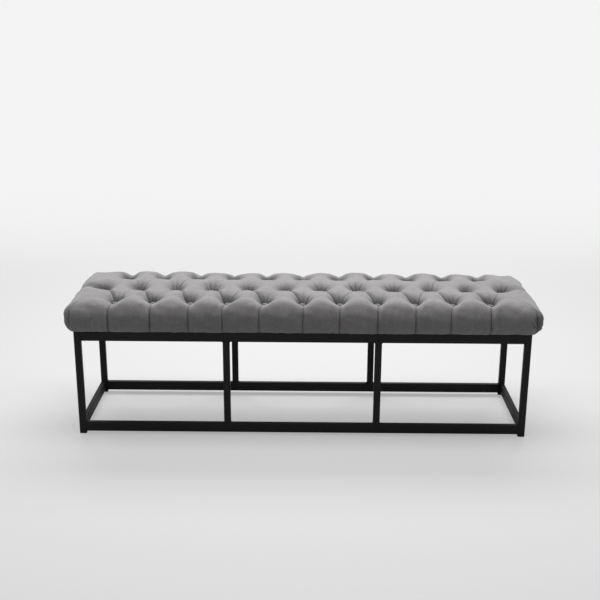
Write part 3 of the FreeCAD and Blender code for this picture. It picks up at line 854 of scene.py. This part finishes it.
def studio_paper():
    """Pale paper. Seen by the camera it glows a little, and more the farther back it is."""
    mat, tree, shader = material("studio_paper")
    link = tree.links.new
    shader.inputs["Base Color"].default_value = PAPER
    shader.inputs["Roughness"].default_value = 0.9
    place = node(tree, "ShaderNodeNewGeometry")
    split = node(tree, "ShaderNodeSeparateXYZ")
    link(place.outputs["Position"], split.inputs["Vector"])
    far = node(tree, "ShaderNodeMapRange", interpolation_type="SMOOTHSTEP")
    far.inputs["From Min"].default_value = 0.2
    far.inputs["From Max"].default_value = 3.0
    link(split.outputs["Y"], far.inputs["Value"])
    tone = node(tree, "ShaderNodeMix", data_type="RGBA")
    tone.inputs["A"].default_value = PAPER_NEAR
    tone.inputs["B"].default_value = PAPER_FAR
    link(far.outputs["Result"], tone.inputs["Factor"])
    glow = node(tree, "ShaderNodeEmission")
    link(tone.outputs["Result"], glow.inputs["Color"])
    share = node(tree, "ShaderNodeMapRange")
    share.inputs["To Min"].default_value = 0.45
    share.inputs["To Max"].default_value = 1.0
    link(far.outputs["Result"], share.inputs["Value"])
    ray = node(tree, "ShaderNodeLightPath")
    seen = node(tree, "ShaderNodeMath", operation="MULTIPLY")
    link(share.outputs["Result"], seen.inputs[0])
    link(ray.outputs["Is Camera Ray"], seen.inputs[1])
    mix = node(tree, "ShaderNodeMixShader")
    link(seen.outputs["Value"], mix.inputs["Fac"])
    link(shader.outputs["BSDF"], mix.inputs[1])
    link(glow.outputs["Emission"], mix.inputs[2])
    link(mix.outputs["Shader"], tree.nodes["Material Output"].inputs["Surface"])
    return mat


def studio():
    """The floor, which curves up into the backdrop."""
    profile = [(SWEEP_FRONT, 0.0)]
    for angle in np.linspace(0, 1, SWEEP_STEPS) * math.pi / 2:
        y = SWEEP_START + SWEEP_RADIUS * math.sin(angle)
        profile.append((y, SWEEP_RADIUS * (1 - math.cos(angle))))
    profile.append((SWEEP_START + SWEEP_RADIUS, SWEEP_TOP))
    points = [(x, y, z) for y, z in profile for x in (-SWEEP_HALF_WIDTH, SWEEP_HALF_WIDTH)]
    faces = [(2 * i, 2 * i + 1, 2 * i + 3, 2 * i + 2) for i in range(len(profile) - 1)]
    mesh = bpy.data.meshes.new("studio_sweep")
    mesh.from_pydata(points, [], faces)
    sweep = bpy.data.objects.new("studio_sweep", mesh)
    bpy.context.scene.collection.objects.link(sweep)
    mesh.polygons.foreach_set("use_smooth", [True] * len(mesh.polygons))
    set_material(sweep, studio_paper())


def area(name, place, size, energy):
    data = bpy.data.lights.new(name, "AREA")
    data.shape = "RECTANGLE"
    data.size, data.size_y = size
    data.energy = energy
    lamp = bpy.data.objects.new(name, data)
    lamp.location = place
    direction = Vector(LAMP_AIM) - Vector(place)
    lamp.rotation_euler = direction.to_track_quat("-Z", "Y").to_euler()
    bpy.context.scene.collection.objects.link(lamp)


def lights():
    """The lamps, and a world that is dim on the object and pale to the camera."""
    for lamp in LAMPS:
        area(*lamp)
    world = bpy.data.worlds.new("studio_air")
    bpy.context.scene.world = world
    world.use_nodes = True
    tree = world.node_tree
    air = tree.nodes["Background"]
    air.inputs["Color"].default_value = (1, 1, 1, 1)
    air.inputs["Strength"].default_value = AIR_STRENGTH
    seen = node(tree, "ShaderNodeBackground", Color=BACKDROP, Strength=1.0)
    ray = node(tree, "ShaderNodeLightPath")
    mix = node(tree, "ShaderNodeMixShader")
    tree.links.new(ray.outputs["Is Camera Ray"], mix.inputs["Fac"])
    tree.links.new(air.outputs["Background"], mix.inputs[1])
    tree.links.new(seen.outputs["Background"], mix.inputs[2])
    tree.links.new(mix.outputs["Shader"], tree.nodes["World Output"].inputs["Surface"])


def camera():
    data = bpy.data.cameras.new("camera")
    data.sensor_width = SENSOR_WIDTH
    data.lens = SENSOR_WIDTH * FOCAL_PIXELS / PHOTO_WIDTH
    data.dof.use_dof = False
    data.clip_end = 50.0
    level = math.cos(CAMERA_TILT)
    ahead = (math.sin(CAMERA_YAW) * level, math.cos(CAMERA_YAW) * level, -math.sin(CAMERA_TILT))
    forward = Vector(ahead)
    right = Vector((math.cos(CAMERA_YAW), -math.sin(CAMERA_YAW), 0.0))
    up = right.cross(forward)
    rolled_right = right * math.cos(CAMERA_ROLL) + up * math.sin(CAMERA_ROLL)
    rolled_up = up * math.cos(CAMERA_ROLL) - right * math.sin(CAMERA_ROLL)
    obj = bpy.data.objects.new("camera", data)
    turn = Matrix((rolled_right, rolled_up, -forward)).transposed()
    obj.matrix_world = Matrix.Translation(CAMERA_PLACE) @ turn.to_4x4()
    bpy.context.scene.collection.objects.link(obj)
    bpy.context.scene.camera = obj


# Build

cover = seat_cover()
cloth = upholstery_cloth("upholstery_cloth", 0.0)
# Painted shade: the buttons' cloth is the same, darkened all over like the shade deep in their
# pits
button_cloth_painted_shade = upholstery_cloth("button_cloth_painted_shade", 0.4)
set_material(cover, cloth)
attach(cover, "root")
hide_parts("seat_cover", "wadding", "foam_core")

finishes = {
    "powder_coat": powder_coat(),
    "cap_plastic": plain("black_plastic", (0.018, 0.018, 0.019), 0.55),
    "plywood": plain("plywood", (0.55, 0.40, 0.25), 0.7, grain=60.0, spread=0.2),
    "upholstery": cloth,
    "dust_cloth": plain("dust_cloth", (0.02, 0.02, 0.021), 0.95, grain=2500.0, spread=0.5),
    "twine": plain("twine", (0.6, 0.55, 0.45), 0.8),
    "zinc_steel": plain("zinc_steel", (0.62, 0.63, 0.64), 0.35, metallic=1.0),
}
for entry in frame["record"]["subparts"]:
    part = frame["nodes"][entry["node"]]
    # Tuft buttons get the cloth with painted shade
    if entry["node"].startswith("tuft_buttons"):
        set_material(part, button_cloth_painted_shade)
    elif entry["material_slot"] in finishes:
        set_material(part, finishes[entry["material_slot"]])

studio()
lights()
camera()
bpy.context.scene.view_settings.view_transform = "Standard"
